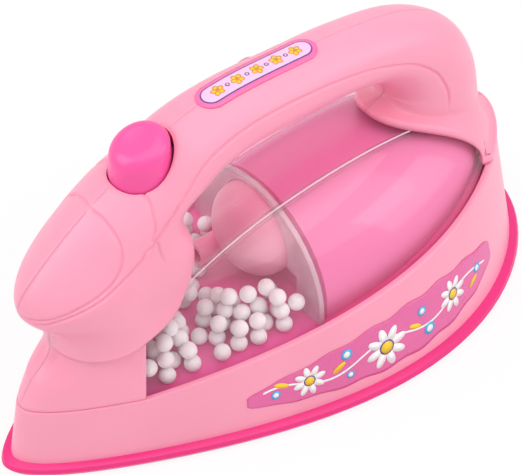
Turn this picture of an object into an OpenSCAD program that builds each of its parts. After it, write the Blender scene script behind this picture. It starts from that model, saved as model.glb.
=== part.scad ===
// Toy iron with a clear dome of foam balls, a push button and a small blower.
// Nose toward -X, heel toward +X, sole on Z = 0, middle plane Y = 0.

/* [Sole and skirt] */
// length of the sole from nose to heel
sole_l = 175; // [165:1:185]
// greatest width of the sole
sole_w = 86; // [82:1:92]
// thickness of the soleplate
sole_t = 3.2; // [2.8:0.1:4]
// how far the sole stands out past the skirt
sole_lip = 3; // [2:0.1:4]
// height of the skirt's top line along the nose
skirt_h = 20; // [19:0.5:22]
// height that the skirt's top line would reach at the end of the heel
heel_h = 42; // [40:0.5:44]
// wall of the skirt and of the handle halves
wall = 2; // [1.6:0.1:2.4]

/* [Dome] */
// rise of the dome's crown above its edge
dome_h = 28; // [26:0.5:30]
// wall of the clear dome
dome_t = 1.6; // [1.2:0.1:2]
// depth of the ball deck below the skirt's top line
deck_drop = 4; // [3:0.5:5]
// thickness of the deck
deck_t = 2; // [1.6:0.1:2.6]
// thickness of the clear partition
partition_t = 1.5; // [1:0.1:2]
// diameter of a foam ball
ball_d = 4.5; // [3.5:0.1:5]

/* [Handle] */
// height of the handle's top above the table
handle_h = 90; // [88:0.5:96]
// width of the head
head_w = 34; // [32:0.5:36]
// width of the handle
handle_w = 20; // [18:0.5:22]
// length of the badge
badge_l = 31; // [26:1:34]
// width of the badge
badge_w = 8; // [6:0.5:9]

/* [Button] */
// diameter of the button
button_d = 15.6; // [14:0.2:16.4]
// height of the button above the head
button_h = 5; // [4:0.5:7]
// how far the button travels
button_travel = 2.5; // [1.5:0.5:2.5]

/* [Works] */
// diameter of a cell
cell_d = 14.5; // [13.5:0.5:14.5]
// length of a cell
cell_l = 50.5; // [44:0.5:51]
// diameter of the blower housing as a share of the room under the dome
blower_share = 0.964; // [0.9:0.002:0.98]
// diameter of the motor
motor_d = 20; // [18:0.5:21]
// length of the motor
motor_l = 25; // [22:0.5:26]

/* [Hidden] */

// Gap between seated pieces, gap of a running shaft, and the overrun of cuts
fit = 0.3;
run = 0.05;
over = 1;
half_l = sole_l / 2;
half_head = head_w / 2;
half_handle = handle_w / 2;

// Outline of the sole: a pointed egg, given by its two end powers, its lean and its pinch
nose_power = 0.55;
heel_power = 0.576;
lean_power = 0.753;
pinch_power = 0.847;
egg_steps = 200;
function egg(t) = let (s = t - 1 / 2)
  pow(t, nose_power) * pow(1 - t, heel_power) * exp(lean_power * s - pinch_power * s * s);
egg_top = max([for (i = [0:egg_steps]) egg(i / egg_steps)]);
// Half width at x of an outline that lies inset inside the sole's edge
function half_w(x, inset) = let (h = half_l - inset, t = min(1, max(0, (x + h) / (2 * h))))
  (sole_w / 2 - inset) * egg(t) / egg_top;
outline_steps = 96;
function outline_at(a, inset) = let (x = -(half_l - inset) * cos(a))
  [x, (a < 180 ? -1 : 1) * half_w(x, inset)];
function outline(inset) = [for (i = [0:outline_steps - 1]) outline_at(360 * i / outline_steps, inset)];

// Skirt: leans in as it rises, its top line level along the nose pillar and rising behind it
skirt_lean_share = 0.23;
window_share = -0.62;
window_x = half_l * window_share;
edge_slope = (heel_h - skirt_h) / (half_l - window_x);
edge_lean = skirt_lean_share * edge_slope;
function edge_z(x) = skirt_h + edge_slope * max(0, x - window_x);
function skin_inset(z) = sole_lip + skirt_lean_share * (z - sole_t);
function top_reach(off) = half_l - skin_inset(skirt_h) - off + edge_lean * window_x;
// Place of the skirt's sloping top line at angle a, and the angle at which that line reaches x
function top_x(a, off) = -cos(a) * top_reach(off) / (1 - cos(a) * edge_lean);
function top_angle(x, off) = acos(x / (edge_lean * x - top_reach(off)));
// Point of the skirt at angle a and share f of its height, off inside its surface
function skirt_at(a, f, off) = let (z = sole_t + f * (edge_z(top_x(a, off)) - sole_t),
  p = outline_at(a, skin_inset(z) + off)) [p[0], p[1], z];

// Closed body between a grid of outer points and a like grid of inner points, its ends rims or walls
module shell(outer, inner, wrap = false, walled = false) {
  m = len(outer);
  n = len(outer[0]);
  last = wrap ? n - 1 : n - 2;
  e = m - 1;
  s = n - 1;
  function o(i, j) = i * n + j % n;
  function k(i, j) = m * n + i * n + j % n;
  sheets = [for (i = [0:m - 2], j = [0:last]) each [
    [o(i, j), o(i + 1, j), o(i + 1, j + 1)], [o(i, j), o(i + 1, j + 1), o(i, j + 1)],
    [k(i, j), k(i + 1, j + 1), k(i + 1, j)], [k(i, j), k(i, j + 1), k(i + 1, j + 1)]]];
  rims = [for (j = [0:last]) each [
    [o(0, j), o(0, j + 1), k(0, j + 1)], [o(0, j), k(0, j + 1), k(0, j)],
    [o(e, j), k(e, j), k(e, j + 1)], [o(e, j), k(e, j + 1), o(e, j + 1)]]];
  walls = [[for (j = [0:s]) o(0, j)], [for (j = [0:s]) k(0, s - j)], [k(0, 0), o(0, 0), o(0, s), k(0, s)],
    [for (j = [0:s]) o(e, s - j)], [for (j = [0:s]) k(e, j)], [o(e, 0), k(e, 0), k(e, s), o(e, s)]];
  edges = [for (i = [0:m - 2]) each [
    [o(i, 0), k(i, 0), k(i + 1, 0)], [o(i, 0), k(i + 1, 0), o(i + 1, 0)],
    [o(i, s), o(i + 1, s), k(i + 1, s)], [o(i, s), k(i + 1, s), k(i, s)]]];
  polyhedron([for (r = outer) each r, for (r = inner) each r],
    concat(sheets, walled ? walls : rims, wrap ? [] : edges));
}

// Closed body through rings of points, flat at both ends
module skin(rings) {
  m = len(rings);
  n = len(rings[0]);
  sides = [for (i = [0:m - 2], j = [0:n - 1]) let (q = (j + 1) % n) each [
    [i * n + j, (i + 1) * n + q, i * n + q], [i * n + j, (i + 1) * n + j, (i + 1) * n + q]]];
  ends = [[for (j = [0:n - 1]) j], [for (j = [0:n - 1]) m * n - 1 - j]];
  polyhedron([for (r = rings) each r], concat(sides, ends));
}

// Smooth curve through stations, and rings of a tube along a path
function blend(a, b, c, d, t) = b + t / 2 * (c - a) + t * t * (a - 5 * b / 2 + 2 * c - d / 2)
  + t * t * t / 2 * (3 * b - 3 * c + d - a);
function curve_at(list, u) = let (e = len(list) - 1, i = min(e - 1, floor(u)))
  blend(list[max(0, i - 1)], list[i], list[i + 1], list[min(e, i + 2)], u - i);
function unit(v) = v / norm(v);
function tube(path, r, sides, up) = let (e = len(path) - 1) [for (i = [0:e])
  let (t = unit(path[min(e, i + 1)] - path[max(0, i - 1)]), u = unit(cross(t, up)), v = cross(t, u))
  [for (k = [0:sides - 1]) path[i] + r * (cos(360 * k / sides) * u + sin(360 * k / sides) * v)]];

// Battery box, its hatch and the screws that hold the base together
cell_gap = 0.5;
box_wall = 1.6;
contact_room = 3.5;
deck_gap = 0.6;
box_l = cell_l + 2 * contact_room + 2 * box_wall;
box_w = 2 * cell_d + 3 * cell_gap + 2 * box_wall;
door_t = 2;
door_ledge = 2;
box_h = door_t + cell_d + 2 * cell_gap + box_wall - sole_t;
box_top = sole_t + box_h;
// The box's front lies just under the sloping deck
box_x = window_x + (box_top + deck_gap + deck_t + deck_drop - skirt_h) / edge_slope;
box_mid = box_x + box_l / 2;
box_end = box_x + box_l;
screw_d = 2.6;
screw_head_d = 5;
screw_head_h = 1.6;
screw_grip = 7;
post_d = 7;
post_shares = [[-0.46, 0.26], [-0.05, 0.59]];
rear_post_shares = [0.25, 0.21];
rear_post_x = box_end + (half_l - box_end) * rear_post_shares[0];
post_places = concat([for (s = post_shares) [half_l * s[0], sole_w / 2 * s[1]]],
  [[rear_post_x, sole_w / 2 * rear_post_shares[1]]]);
posts = [for (p = post_places, side = [-1, 1]) [p[0], side * p[1]]];
tab_d = screw_head_d + 2 * door_ledge;
door_screw_x = box_end + tab_d / 2;
door_sink = door_t / 2;

// Sole: rounded rim, hatch opening and screw holes
rim_steps = 4;
rim_share = 0.6;
module soleplate() {
  color([0.93, 0.18, 0.55])
  difference() {
    skin([for (i = [0:rim_steps]) let (a = -90 + 180 * i / rim_steps)
      [for (p = outline(sole_t * rim_share * (1 - cos(a)))) [p[0], p[1], sole_t / 2 * (1 + sin(a))]]]);
    translate([box_mid, 0, sole_t / 2])
      cube([box_l - 2 * door_ledge, box_w - 2 * door_ledge, sole_t + 2 * over], center = true);
    translate([box_mid, 0, (door_t - over) / 2])
      cube([box_l + 2 * fit, box_w + 2 * fit, door_t + over], center = true);
    door_tab(fit, over);
    translate([door_screw_x, 0, -over]) cylinder(d = screw_d, h = sole_t + 2 * over, $fn = 24);
    for (p = posts) translate([p[0], p[1], -over]) {
      cylinder(d = screw_d + 2 * fit, h = sole_t + 2 * over, $fn = 24);
      cylinder(d = screw_head_d + 2 * fit, h = screw_head_h + over, $fn = 32);
    }
  }
}

// Tab at the hatch's rear that takes its screw
module door_tab(gap, drop) {
  translate([door_screw_x, 0, -drop]) cylinder(d = tab_d + 2 * gap, h = door_t + drop, $fn = 32);
  translate([door_screw_x - tab_d / 2, 0, (door_t - drop) / 2])
    cube([tab_d, tab_d + 2 * gap, door_t + drop], center = true);
}

module battery_door() {
  color([0.93, 0.18, 0.55])
  difference() {
    union() {
      translate([box_mid, 0, door_t / 2]) cube([box_l, box_w, door_t], center = true);
      door_tab(0, 0);
    }
    translate([door_screw_x, 0, -over]) {
      cylinder(d = screw_d + 2 * fit, h = door_t + 2 * over, $fn = 24);
      cylinder(d = screw_head_d + 2 * fit, h = door_sink + over, $fn = 32);
    }
  }
}

// Skirt wall round the body
skirt_rows = 3;
function skirt_grid(off) = [for (i = [0:skirt_rows])
  [for (j = [0:outline_steps - 1]) skirt_at(360 * j / outline_steps, i / skirt_rows, off)]];
module base_skirt() {
  color([0.98, 0.66, 0.78]) shell(skirt_grid(0), skirt_grid(wall), wrap = true);
}

// Dome: a run of half-elliptic ribs, highest near the partition
crown_share = -0.07;
front_reach_share = 0.64;
dome_end_share = 0.8;
crown_x = half_l * crown_share;
front_reach = half_l * front_reach_share;
dome_end = half_l * dome_end_share;
dome_front = window_x + fit;
dome_back = dome_end - wall;
function dome_w(x) = half_w(x, skin_inset(edge_z(x)) + wall + fit);
function dome_rise(x) = dome_h * sqrt(max(0, 1 - pow((x - crown_x)
  / (x < crown_x ? front_reach : dome_end - crown_x), 2)));
function dome_z(x, y) = x > dome_end ? edge_z(x)
  : edge_z(x) + dome_rise(x) * sqrt(max(0, 1 - pow(y / dome_w(x), 2)));
rib_steps = 22;
rib_cols = 20;
// One rib, off inside the dome, from the deck up over the crown and down again
function rib(x, off) = let (w = dome_w(x) - off, top = edge_z(x), low = top - deck_drop,
  h = dome_rise(x) - off) [[x, w, low],
  for (j = [0:rib_cols]) let (a = 180 * j / rib_cols) [x, w * cos(a), top + h * sin(a)], [x, -w, low]];
function ribs(x0, x1, off) = [for (i = [0:rib_steps])
  rib(x0 + (x1 - x0) * (1 - cos(180 * i / rib_steps)) / 2, off)];
module hood(x0, x1, off, t) {
  shell(ribs(x0, x1, off), ribs(x0 + t, x1 - t, off + t), walled = true);
}

module clear_dome() {
  color([0.98, 0.8, 0.88, 0.35]) hood(dome_front, dome_back, 0, dome_t);
}

// Clear partition with its arched, stepped opening for the blower
partition_share = -0.075;
partition_x = half_l * partition_share;
partition_back = partition_x + partition_t;
blower_rise_share = 0.386;
blower_d = blower_share * min(dome_h, dome_w(partition_x));
blower_z = edge_z(partition_x) + dome_h * blower_rise_share;
arch_d = blower_d + 2 * fit;
step_w_share = 0.15;
step_w = blower_d * step_w_share;
step_share = 0.7;
deck_z = edge_z(partition_back) - deck_drop;
module clear_partition() {
  color([0.98, 0.8, 0.88, 0.35])
  translate([partition_x, 0, 0]) rotate([90, 0, 90]) linear_extrude(partition_t)
  difference() {
    polygon([for (p = rib(partition_x, dome_t + fit)) [p[1], max(p[2], deck_z)]]);
    translate([0, blower_z]) circle(d = arch_d, $fn = 64);
    translate([-arch_d / 2, deck_z - over]) square([arch_d, blower_z - deck_z + over]);
    translate([-arch_d / 2 - step_w, deck_z - over])
      square([arch_d + 2 * step_w, (blower_z - deck_z) * step_share + over]);
  }
}

// Opaque cover under the rear of the dome
cover_gap = 1.5;
cover_t = 1.2;
cover_front = partition_back + cover_gap;
works_x = cover_front + cover_t;
module inner_cover() {
  color([0.92, 0.33, 0.6])
  difference() {
    hood(cover_front, dome_back - dome_t - cover_gap, dome_t + cover_gap, cover_t);
    translate([cover_front - over, 0, blower_z]) rotate([0, 90, 0])
      cylinder(d = arch_d, h = cover_t + 2 * over, $fn = 64);
  }
}

// Deck under the balls, open behind the partition, on posts that stand on the sole
tilt = atan(edge_slope);
deck_flange = 9;
deck_steps = 24;
module on_deck() {
  translate([window_x, 0, skirt_h - deck_drop]) rotate([0, -tilt, 0]) children();
}
function deck_side(x0, x1, off) = [for (i = [0:deck_steps])
  let (x = x0 + (x1 - x0) * (1 - cos(180 * i / deck_steps)) / 2)
  [(x - window_x) / cos(tilt), dome_w(x) - off]];
function both(side) = concat(side, [for (i = [len(side) - 1:-1:0]) [side[i][0], -side[i][1]]]);
module deck_tray() {
  color([0.92, 0.33, 0.6])
  difference() {
    union() {
      on_deck() translate([0, 0, -deck_t]) linear_extrude(deck_t) difference() {
        polygon(both(deck_side(dome_front, dome_back, 0)));
        polygon(both(deck_side(works_x, rear_post_x - post_d / 2, deck_flange)));
      }
      for (p = posts) translate([p[0], p[1], sole_t])
        cylinder(d = post_d, h = edge_z(p[0]) - deck_drop - deck_t / 2 - sole_t, $fn = 32);
    }
    for (p = posts) translate([p[0], p[1], sole_t - over])
      cylinder(d = screw_d, h = screw_grip + over, $fn = 24);
  }
}

// Blower: rounded housing held in the partition's arch, its nozzle toward the balls
blower_r = blower_d / 2;
blower_wall = 1.2;
blower_nose = 10;
blower_l = 14;
nozzle_d = 7;
nozzle_l = 9;
nozzle_share = 0.5;
nozzle_y = blower_r * nozzle_share;
nozzle_drop = blower_r * nozzle_share;
shaft_d = 2;
motor_boss_d = 6;
bulb_steps = 10;
module on_blower() {
  translate([partition_x, 0, blower_z]) rotate([0, 90, 0]) children();
}
function bulb(r, nose, l) = concat(
  [for (i = [0:bulb_steps]) let (a = 90 * i / bulb_steps) [r * sin(a), -nose * cos(a)]], [[r, l], [0, l]]);
module blower_housing() {
  color([0.99, 0.68, 0.8])
  on_blower() difference() {
    union() {
      rotate_extrude($fn = 64) polygon(bulb(blower_r, blower_nose, blower_l));
      translate([nozzle_drop, nozzle_y, -blower_nose - nozzle_l / 2])
        cylinder(d = nozzle_d, h = nozzle_l + blower_nose / 2, $fn = 32);
    }
    rotate_extrude($fn = 64)
      polygon(bulb(blower_r - blower_wall, blower_nose - blower_wall, blower_l - blower_wall));
    translate([nozzle_drop, nozzle_y, -blower_nose - nozzle_l])
      cylinder(d = nozzle_d - 2 * blower_wall, h = nozzle_l + blower_nose, $fn = 32);
    cylinder(d = motor_boss_d + fit, h = blower_l + over, $fn = 32);
  }
}

// Fan, fixed on the shaft of the motor
fan_gap = 1.5;
fan_d = blower_d - 2 * blower_wall - 2 * fan_gap;
fan_hub = 6;
fan_l = 7;
fan_blades = 6;
blade_t = 1;
fan_x = 2;
shaft_l = 22;
module impeller() {
  color([0.95, 0.95, 0.96])
  on_blower() translate([0, 0, fan_x]) difference() {
    union() {
      cylinder(d = fan_hub, h = fan_l, $fn = 32);
      translate([0, 0, fan_l - blade_t]) cylinder(d = fan_d, h = blade_t, $fn = 48);
      for (i = [0:fan_blades - 1]) rotate([0, 0, 360 * i / fan_blades])
        translate([fan_hub / 3, -blade_t / 2, 0]) cube([fan_d / 2 - fan_hub / 3 - blade_t, blade_t, fan_l]);
    }
    translate([0, 0, -over]) cylinder(d = shaft_d + 2 * run, h = fan_l + 2 * over, $fn = 32);
  }
}

module motor_shaft() {
  color([0.8, 0.8, 0.82]) on_blower() translate([0, 0, fan_x]) cylinder(d = shaft_d, h = shaft_l, $fn = 32);
}

// Motor: its boss carries the housing, its can lies in a bracket on the battery box
can_z = blower_l + fit;
module motor() {
  color([0.72, 0.73, 0.75])
  on_blower() difference() {
    union() {
      translate([0, 0, blower_l - blower_wall])
        cylinder(d = motor_boss_d, h = can_z - blower_l + 2 * blower_wall, $fn = 32);
      translate([0, 0, can_z]) cylinder(d = motor_d, h = motor_l, $fn = 48);
    }
    cylinder(d = shaft_d + 2 * run, h = fan_x + shaft_l + fit, $fn = 32);
  }
}

bracket_l = 10;
module motor_bracket() {
  color([0.92, 0.33, 0.6])
  difference() {
    translate([partition_x + can_z + motor_l / 2, 0, (box_top + blower_z) / 2])
      cube([bracket_l, motor_d, blower_z - box_top], center = true);
    on_blower() cylinder(d = motor_d + fit, h = can_z + motor_l + bracket_l, $fn = 48);
  }
}

// Battery box, cells and contacts
cell_y = (cell_d + cell_gap) / 2;
cell_z = door_t + cell_gap + cell_d / 2;
nub_d = 5.5;
nub_l = 1;
module battery_box() {
  color([0.2, 0.2, 0.22])
  difference() {
    translate([box_mid, 0, sole_t + box_h / 2]) cube([box_l, box_w, box_h], center = true);
    translate([box_mid, 0, sole_t + (box_h - box_wall - over) / 2])
      cube([box_l - 2 * box_wall, box_w - 2 * box_wall, box_h - box_wall + over], center = true);
  }
}

module cells() {
  for (side = [-1, 1]) translate([box_mid, side * cell_y, cell_z]) rotate([0, side * 90, 0]) children();
}

module batteries() {
  color([0.25, 0.55, 0.3])
  cells() translate([0, 0, -cell_l / 2]) {
    cylinder(d = cell_d, h = cell_l - nub_l, $fn = 48);
    cylinder(d = nub_d, h = cell_l, $fn = 24);
  }
}

// Tapered coil springs at the cells' flat ends, plates at their nubs
spring_wire = 0.6;
spring_turns = 3;
spring_foot_d = 9;
spring_tip_d = 5;
spring_rings = 12;
spring_sides = 6;
spring_rise = contact_room - spring_wire - fit;
function spring_at(t) = let (r = (spring_foot_d + (spring_tip_d - spring_foot_d) * t) / 2,
  a = 360 * spring_turns * t)
  [r * cos(a), r * sin(a), spring_wire / 2 + spring_rise * t];
spring_last = spring_rings * spring_turns;
module contact_springs() {
  color([0.8, 0.8, 0.78])
  cells() translate([0, 0, -cell_l / 2 - contact_room])
    skin(tube([for (i = [0:spring_last]) spring_at(i / spring_last)], spring_wire / 2,
      spring_sides, [0, 0, 1]));
}

plate_d = 9;
plate_t = 0.5;
module contact_plates() {
  color([0.8, 0.8, 0.78])
  cells() translate([0, 0, cell_l / 2]) {
    translate([0, 0, contact_room - plate_t]) cylinder(d = plate_d, h = plate_t, $fn = 32);
    cylinder(d = nub_d, h = contact_room, $fn = 24);
  }
}

// Pan-head screw along +Z, head below Z = 0
module screw(grip, head_h) {
  translate([0, 0, -head_h]) cylinder(d = screw_head_d, h = head_h, $fn = 32);
  translate([0, 0, -head_h / 2]) cylinder(d = screw_d, h = grip + head_h / 2, $fn = 24);
}

module door_screw() {
  color([0.7, 0.7, 0.72]) translate([door_screw_x, 0, door_sink]) screw(sole_t - door_sink, door_sink);
}

module sole_screws() {
  color([0.7, 0.7, 0.72])
  for (p = posts) translate([p[0], p[1], screw_head_h]) screw(screw_grip, screw_head_h);
}

// Stations of the arch: outer x and z, inner x and z as shares of the half length and the handle's height,
// the share of the head's width, the roundness of the outer and the inner side, and the sag of the sides
arch_shares = [
  [-0.794, 0.403, -0.42, 0.522, 0.92, 1.1, 0.5, 0.035],
  [-0.794, 0.48, -0.39, 0.56, 0.9, 1.1, 0.45, 0.015],
  [-0.86, 0.548, -0.372, 0.611, 0.96, 1.15, 0.45, 0],
  [-0.855, 0.62, -0.375, 0.67, 0.95, 1.25, 0.45, 0],
  [-0.754, 0.718, -0.391, 0.726, 0.72, 1.35, 0.5, 0],
  [-0.629, 0.808, -0.371, 0.769, 0.52, 1.35, 0.6, 0],
  [-0.503, 0.878, -0.297, 0.794, 0.38, 1.2, 0.75, 0],
  [-0.343, 0.955, -0.217, 0.811, 0.22, 1.02, 0.9, 0],
  [-0.171, 0.994, -0.114, 0.817, 0.07, 0.95, 0.9, 0],
  [0.057, 1, 0.057, 0.819, 0, 0.95, 0.9, 0],
  [0.263, 0.994, 0.229, 0.814, 0, 0.95, 0.9, 0],
  [0.48, 0.961, 0.343, 0.789, 0.02, 0.95, 0.9, 0],
  [0.651, 0.867, 0.406, 0.739, 0.1, 0.95, 0.9, 0],
  [0.746, 0.728, 0.423, 0.7, 0.18, 0.95, 0.9, 0],
  [0.79, 0.56, 0.42, 0.692, 0.24, 0.95, 0.9, 0]];
arch_last = len(arch_shares) - 1;
arch_sub = 2;
arch_cols = 16;
function outer_at(u) = let (s = curve_at(arch_shares, u)) [s[0] * half_l, s[1] * handle_h];
function inner_at(u) = let (s = curve_at(arch_shares, u)) [s[2] * half_l, s[3] * handle_h];
function width_at(u) = half_handle + (half_head - half_handle) * curve_at(arch_shares, u)[4];
function bow(v, power) = sign(v) * pow(abs(v), power);
function seat_z(x, y) = dome_z(x, y) + fit;
// Half ring at station u, off inside the surface, from the outer seam round one side to the inner seam
function arch_ring(u, off) = let (s = curve_at(arch_shares, u), o = outer_at(u), i = inner_at(u),
  m = (o + i) / 2, h = norm(o - i) / 2, d = (o - i) / (2 * h))
  [for (j = [0:arch_cols]) let (a = 180 * j / arch_cols, k = a > 90 ? s[6] : s[5],
    p = m + d * (h - off) * bow(cos(a), k), y = (width_at(u) - off) * bow(sin(a), k))
    [p[0], -y, max(p[1] - s[7] * handle_h * sin(a), seat_z(p[0], y))]];

// Foot of the column: a lip along the skirt's top round the heel, then up over the dome to a tip in front
foot_share = 0.7;
tip_share = 0.352;
foot_x = half_l * foot_share;
tip_x = half_l * tip_share;
lip_t = 2;
lip_over = 0.2;
lip_power = 0.4;
foot_angle = top_angle(foot_x, -lip_over);
foot_y = -skirt_at(foot_angle, 1, -lip_over)[1];
heel_cols = arch_cols / 2;
function foot_at(j, off) = let (v = (j - heel_cols) / (arch_cols - heel_cols))
  j <= heel_cols ? skirt_at(180 + (foot_angle - 180) * j / heel_cols, 1, off - lip_over)
  : [foot_x + (tip_x + off - foot_x) * v, -(foot_y - off) * pow(1 - v, lip_power)];
foot_rows = 8;
flare_power = 2.8;
function foot_row(g, off, t) = let (a = arch_ring(arch_last, off), f = pow(g, flare_power))
  [for (j = [0:arch_cols]) let (b = foot_at(j, off),
    x = a[j][0] + (b[0] - a[j][0]) * f, y = a[j][1] + (b[1] - a[j][1]) * f,
    z = a[j][2] + (seat_z(b[0], b[1]) + t - a[j][2]) * g) [x, y, max(z, seat_z(x, y) + t)]];
function lip_row(off) = [for (j = [0:arch_cols]) let (b = foot_at(j, off)) [b[0], b[1], seat_z(b[0], b[1])]];
function arch_rows(off, t) = concat([for (k = [0:arch_last * arch_sub]) arch_ring(k / arch_sub, off)],
  [for (k = [1:foot_rows]) foot_row(k / foot_rows, off, t)], [lip_row(off)]);

// Nose pillar: rises from the skirt's front, leans back and flares out under the head
pillar_top_shares = [-0.765, -0.57];
pillar_top_w_share = 0.8;
pillar_flare_share = 0.1;
pillar_top_share = 0.455;
pillar_row_shares = [[0, 0], [0.5, 0], [0.8, 0], [1, 1]];
pillar_power = 0.6;
pillar_gap = 0.2;
pillar_cols = 12;
pillar_inset = skin_inset(skirt_h);
pillar_low = skirt_h + pillar_gap;
pillar_top = handle_h * pillar_top_share;
pillar_flare = half_head * pillar_flare_share;
function pillar_at(s, row, off) = let (g = row[0], flare = row[1] * pillar_flare,
  low_front = -(half_l - pillar_inset - off), low_x = low_front + (window_x - low_front) * s * s,
  low_y = half_w(low_x, pillar_inset + off), top_front = half_l * pillar_top_shares[0] + off - flare,
  top_x = top_front + (half_l * pillar_top_shares[1] - top_front) * s * s,
  top_y = (half_head * pillar_top_w_share + flare - off) * pow(s, pillar_power))
  [low_x + (top_x - low_x) * g, -(low_y + (top_y - low_y) * g), pillar_low + (pillar_top - pillar_low) * g];
function pillar_rows(off) = [for (r = pillar_row_shares)
  [for (j = [0:pillar_cols]) pillar_at(j / pillar_cols, r, off)]];

// Button, upright in the sloping head, with a sloping flange under the head's wall and a boss over the switch
head_slope = 27;
button_share = 6.35;
button_at = outer_at(button_share);
button_seat = 5.4;
button_flange = 1;
button_flange_t = 1.5;
button_edge = 1.8;
button_draft = 5;
button_steps = 6;
button_low = -button_seat - button_flange_t;
module on_button() {
  translate([button_at[0], 0, button_at[1]]) children();
}
// What lies between two heights over the slope of the head
module slope_slab(low, high) {
  on_button() rotate([0, -head_slope, 0]) translate([-button_d, -button_d, low])
    cube([2 * button_d, 2 * button_d, high - low]);
}

// Switch under the front of the button, pinched between two posts inside the head
switch_back = -4;
switch_w = 7;
switch_h = 6;
switch_floor = 0.5;
switch_share = 4;
boss_w = 4;
boss_low = (switch_back - switch_w / 2) * tan(head_slope) + button_low / cos(head_slope);
switch_top = boss_low - button_travel - 2 * fit;
plunger_d = 2.8;
plunger_l = button_travel + fit;
plunger_sink = switch_h - switch_floor - button_travel - fit;
switch_post_d = 5;
switch_post_y = width_at(switch_share) - wall + fit;

// Screws across the halves: station, and place between the seams
screw_shares = [[2.5, 0.45], [8.6, 0.5], [11.6, 0.5]];
function screw_at(s) = let (o = outer_at(s[0]), i = inner_at(s[0])) o + (i - o) * s[1];
boss_wall = 1.2;
boss_d = screw_head_d + 2 * fit + 2 * boss_wall;
screw_seat = 4;
module at_screws(y) {
  for (s = screw_shares) let (p = screw_at(s)) translate([p[0], y, p[1]]) rotate([90, 0, 0]) children();
}

module half_body() {
  shell(arch_rows(0, lip_t), arch_rows(wall, lip_t / 2));
  shell(pillar_rows(0), pillar_rows(wall - pillar_gap));
  for (s = screw_shares) let (p = screw_at(s)) translate([p[0], 0, p[1]]) rotate([90, 0, 0])
    cylinder(d = boss_d, h = width_at(s[0]) - wall + fit, $fn = 32);
  on_button() translate([switch_back, -switch_w / 2, switch_top - switch_h / 2]) rotate([90, 0, 0])
    cylinder(d = switch_post_d, h = switch_post_y - switch_w / 2, $fn = 24);
}

module half_cuts() {
  intersection() {
    on_button() translate([0, 0, -button_d]) cylinder(d = button_d + 2 * fit, h = 2 * button_d, $fn = 64);
    slope_slab(button_low, button_d);
  }
  badge_block(fit, over);
}

module handle_left() {
  color([0.99, 0.7, 0.81])
  difference() {
    half_body();
    half_cuts();
    at_screws(over) cylinder(d = screw_d, h = screw_grip + over, $fn = 24);
  }
}

module handle_right() {
  color([0.99, 0.7, 0.81])
  mirror([0, 1, 0]) difference() {
    half_body();
    half_cuts();
    at_screws(over) {
      cylinder(d = screw_d + 2 * fit, h = half_head, $fn = 24);
      translate([0, 0, screw_seat + over]) cylinder(d = screw_head_d + 2 * fit, h = half_head, $fn = 32);
    }
  }
}

module handle_screws() {
  color([0.7, 0.7, 0.72]) at_screws(screw_seat) screw(screw_seat + screw_grip - over, screw_head_h);
}

// Badge let into the handle's top
badge_share = 8.5;
badge_reach_share = 0.7;
badge_t = 1.5;
badge_rise = 0.4;
badge_at = outer_at(badge_share);
badge_run = outer_at(badge_share + badge_reach_share) - outer_at(badge_share - badge_reach_share);
module badge_block(gap, up) {
  translate([badge_at[0], 0, badge_at[1]]) rotate([0, -atan2(badge_run[1], badge_run[0]), 0])
    translate([0, 0, badge_rise - badge_t]) linear_extrude(badge_t + up) {
      square([badge_l - badge_w, badge_w + 2 * gap], center = true);
      for (s = [-1, 1]) translate([s * (badge_l - badge_w) / 2, 0]) circle(d = badge_w + 2 * gap, $fn = 32);
    }
}

module handle_badge() {
  color([0.95, 0.35, 0.65]) badge_block(0, 0);
}

module button() {
  r = button_d / 2;
  foot = -button_d / 4;
  top_r = r - (button_h - button_edge - foot) * tan(button_draft);
  color([1, 0.36, 0.68]) {
    intersection() {
      on_button() rotate_extrude($fn = 64) polygon(concat(
        [[0, -button_d], [r, -button_d], [r, foot]],
        [for (i = [0:button_steps]) let (a = 90 * i / button_steps)
          [top_r - button_edge + button_edge * cos(a), button_h - button_edge + button_edge * sin(a)]],
        [[0, button_h]]));
      slope_slab(button_low, button_d);
    }
    intersection() {
      on_button() translate([0, 0, -button_d]) cylinder(r = r + button_flange, h = 2 * button_d, $fn = 64);
      slope_slab(button_low, -button_seat);
    }
    on_button() translate([switch_back, 0, boss_low])
      cylinder(d = boss_w, h = -boss_low - button_seat, $fn = 24);
  }
}

module switch_plunger() {
  color([0.15, 0.15, 0.16])
  on_button() translate([switch_back, 0, switch_top - plunger_sink])
    cylinder(d = plunger_d, h = plunger_sink + plunger_l, $fn = 24);
}

module switch() {
  color([0.15, 0.15, 0.16])
  on_button() translate([switch_back, 0, switch_top - switch_h]) difference() {
    translate([-switch_w / 2, -switch_w / 2, 0]) cube([switch_w, switch_w, switch_h]);
    translate([0, 0, switch_floor]) cylinder(d = plunger_d + fit, h = switch_h, $fn = 24);
  }
}

// Stickers: thin leaf-shaped skins on the skirt's sides
sticker_t = 0.15;
sticker_gap = 0.1;
sticker_angles = [68, 131];
sticker_low_share = 0.1;
sticker_high_share = 0.72;
sticker_tip_share = 0.2;
sticker_power = 0.6;
sticker_rows = 4;
sticker_cols = 16;
function sticker_f(u, v) = let (mid = (sticker_low_share + sticker_high_share) / 2,
  swell = sticker_tip_share + (1 - sticker_tip_share) * pow(sin(180 * u), sticker_power))
  mid + (sticker_high_share - sticker_low_share) * swell * (v - 1 / 2);
function sticker_grid(off) = [for (i = [0:sticker_rows]) [for (j = [0:sticker_cols])
  let (u = j / sticker_cols, a = sticker_angles[0] + (sticker_angles[1] - sticker_angles[0]) * u)
  skirt_at(a, sticker_f(u, i / sticker_rows), off)]];
module side_sticker() {
  shell(sticker_grid(-sticker_gap - sticker_t), sticker_grid(-sticker_gap));
}

module side_sticker_left() {
  color([0.85, 0.35, 0.6]) side_sticker();
}

module side_sticker_right() {
  color([0.85, 0.35, 0.6]) mirror([0, 1, 0]) side_sticker();
}

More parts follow.
